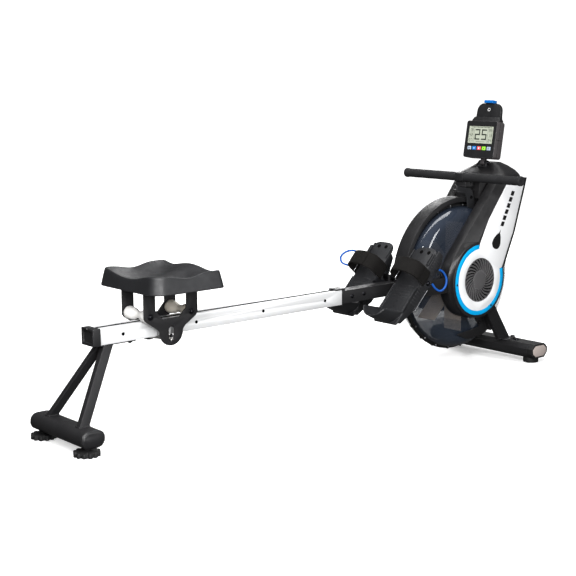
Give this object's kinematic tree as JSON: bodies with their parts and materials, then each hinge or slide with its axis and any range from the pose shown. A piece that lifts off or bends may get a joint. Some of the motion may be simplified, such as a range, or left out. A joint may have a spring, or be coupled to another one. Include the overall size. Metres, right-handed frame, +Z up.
{
  "type": "rowing machine",
  "caption": "Water-resistance rowing machine with a sliding seat on a level rail, hinged foot rests with straps, a pull handle, a smoked water drum and a tilting display.",
  "frame": {"origin": "on the floor at the middle of the machine's length and width", "axes": "+X from the rear feet towards the water drum, +Y towards the rower's left, +Z up"},
  "size_m": [2.0564, 0.58, 0.9945],
  "materials": {
    "frame": "satin powder coat, fine texture",
    "plastic": "satin moulded",
    "rail": "anodised, brushed along its length",
    "foam": "matte moulded foam",
    "roller": "satin",
    "rubber": "matte",
    "steel": "satin",
    "webbing": "woven",
    "cord": "braided",
    "tank": "clear, smoke tint",
    "impeller": "satin",
    "panel": "gloss",
    "accent": "satin",
    "vent": "satin",
    "screen": "gloss",
    "clip_blue": "satin",
    "button_grey": "satin",
    "button_blue": "satin",
    "button_red": "satin",
    "button_green": "satin"
  },
  "bodies": {
    "base": {"rear_stabilizer": "frame", "rear_leg_left": "frame", "rear_leg_right": "frame", "main_arc": "frame", "neck_bracket": "frame", "side_frame_left": "frame", "side_frame_right": "frame", "front_stabilizer": "frame", "rear_end_cap_left": "plastic", "rear_end_cap_right": "plastic", "rail_end_cap": "plastic", "side_cover_left": "plastic", "side_cover_right": "plastic", "mast_shell": "plastic", "console_post": "plastic", "front_end_cap_left": "rubber", "front_end_cap_right": "rubber", "tank_band": "rubber", "rail": "rail", "pedal_axle": "steel", "tank_shell_left": "tank", "tank_shell_right": "tank", "side_panel_left": "panel", "side_panel_right": "panel", "accent_ring_left": "accent", "accent_ring_right": "accent", "fan_disc_left": "vent", "fan_disc_right": "vent"},
    "leveler_left": {"leveling_foot_left": "rubber"},
    "leveler_right": {"leveling_foot_right": "rubber"},
    "carriage": {"seat_pad": "foam", "carriage_plate_left": "frame", "carriage_plate_right": "frame"},
    "roller_rear": {"upper_roller_rear": "roller"},
    "roller_front": {"upper_roller_front": "roller"},
    "roller_lower": {"lower_roller": "roller"},
    "foot_rest_left": {"pedal_left": "plastic", "foot_strap_left": "webbing", "pull_loop_left": "cord"},
    "foot_rest_right": {"pedal_right": "plastic", "foot_strap_right": "webbing", "pull_loop_right": "cord"},
    "handle": {"handle_bar": "plastic", "handle_grip_left": "foam", "handle_grip_right": "foam", "pull_strap": "webbing"},
    "idler": {"idler_pulley": "roller"},
    "drum": {"drive_drum": "plastic"},
    "paddle_wheel": {"impeller": "impeller"},
    "console": {"console_housing": "plastic", "console_screen": "screen", "phone_holder": "plastic"},
    "button_1": {"console_button_1": "button_grey"},
    "button_2": {"console_button_2": "button_blue"},
    "button_3": {"console_button_3": "button_red"},
    "button_4": {"console_button_4": "button_green"},
    "button_5": {"console_button_5": "button_grey"},
    "clip": {"phone_clip": "clip_blue"},
    "wheel_left": {"transport_wheel_left": "rubber"},
    "wheel_right": {"transport_wheel_right": "rubber"}
  },
  "joints": [
    {"name": "leveler_left_turn", "type": "hinge", "parent": "base", "child": "leveler_left", "pos_m": [-0.98725, 0.123, 0], "axis": [0, 0, 1], "continuous": true},
    {"name": "leveler_right_turn", "type": "hinge", "parent": "base", "child": "leveler_right", "pos_m": [-0.98725, -0.123, 0], "axis": [0, 0, 1], "continuous": true},
    {"name": "seat_slide", "type": "slide", "parent": "base", "child": "carriage", "axis": [1, 0, 0], "range_m": [-0.09, 0.64]},
    {"name": "roller_rear_spin", "type": "hinge", "parent": "carriage", "child": "roller_rear", "pos_m": [-0.70825, 0, 0.3668], "axis": [0, 1, 0], "continuous": true},
    {"name": "roller_front_spin", "type": "hinge", "parent": "carriage", "child": "roller_front", "pos_m": [-0.55225, 0, 0.3668], "axis": [0, 1, 0], "continuous": true},
    {"name": "roller_lower_spin", "type": "hinge", "parent": "carriage", "child": "roller_lower", "pos_m": [-0.63025, 0, 0.286], "axis": [0, 1, 0], "continuous": true},
    {"name": "foot_rest_left_pivot", "type": "hinge", "parent": "base", "child": "foot_rest_left", "pos_m": [0.41975, 0.1085, 0.357], "axis": [0, 1, 0], "range_deg": [0, 10]},
    {"name": "foot_rest_right_pivot", "type": "hinge", "parent": "base", "child": "foot_rest_right", "pos_m": [0.41975, -0.1085, 0.357], "axis": [0, 1, 0], "range_deg": [0, 10]},
    {"name": "handle_pull", "type": "slide", "parent": "base", "child": "handle", "axis": [-1, 0, 0], "range_m": [0, 1.2], "stiffness_N_per_m": 8, "springref_m": -0.6, "deforming": ["pull_strap"]},
    {"name": "idler_spin", "type": "hinge", "parent": "base", "child": "idler", "pos_m": [0.85075, 0, 0.6881], "axis": [0, 1, 0], "continuous": true},
    {"name": "drum_spin", "type": "hinge", "parent": "base", "child": "drum", "pos_m": [0.74145, -0.114, 0.3299], "axis": [0, 1, 0], "continuous": true},
    {"name": "impeller_spin", "type": "hinge", "parent": "base", "child": "paddle_wheel", "pos_m": [0.74145, 0, 0.3299], "axis": [0, 1, 0], "continuous": true},
    {"name": "console_tilt", "type": "hinge", "parent": "base", "child": "console", "pos_m": [0.90575, 0, 0.756], "axis": [0, 1, 0], "range_deg": [-15, 12]},
    {"name": "button_1_press", "type": "slide", "parent": "console", "child": "button_1", "axis": [0.986, 0, -0.1668], "range_m": [0, 0.0012], "stiffness_N_per_m": 200},
    {"name": "button_2_press", "type": "slide", "parent": "console", "child": "button_2", "axis": [0.986, 0, -0.1668], "range_m": [0, 0.0012], "stiffness_N_per_m": 200},
    {"name": "button_3_press", "type": "slide", "parent": "console", "child": "button_3", "axis": [0.986, 0, -0.1668], "range_m": [0, 0.0012], "stiffness_N_per_m": 200},
    {"name": "button_4_press", "type": "slide", "parent": "console", "child": "button_4", "axis": [0.986, 0, -0.1668], "range_m": [0, 0.0012], "stiffness_N_per_m": 200},
    {"name": "button_5_press", "type": "slide", "parent": "console", "child": "button_5", "axis": [0.986, 0, -0.1668], "range_m": [0, 0.0012], "stiffness_N_per_m": 200},
    {"name": "phone_clip_slide", "type": "slide", "parent": "console", "child": "clip", "axis": [0.1668, 0, 0.986], "range_m": [0, 0.02], "stiffness_N_per_m": 150},
    {"name": "wheel_left_spin", "type": "hinge", "parent": "base", "child": "wheel_left", "pos_m": [1.01125, 0.2235, 0.044], "axis": [0, 1, 0], "continuous": true},
    {"name": "wheel_right_spin", "type": "hinge", "parent": "base", "child": "wheel_right", "pos_m": [1.01125, -0.2235, 0.044], "axis": [0, 1, 0], "continuous": true}
  ],
  "couplings": [
    {"joint": "roller_rear_spin", "follows": "seat_slide", "rad_per_m": 53.763},
    {"joint": "roller_front_spin", "follows": "seat_slide", "rad_per_m": 53.763},
    {"joint": "roller_lower_spin", "follows": "seat_slide", "rad_per_m": -102.04},
    {"joint": "idler_spin", "follows": "handle_pull", "rad_per_m": -51.282},
    {"joint": "drum_spin", "follows": "handle_pull", "rad_per_m": -26.316}
  ]
}
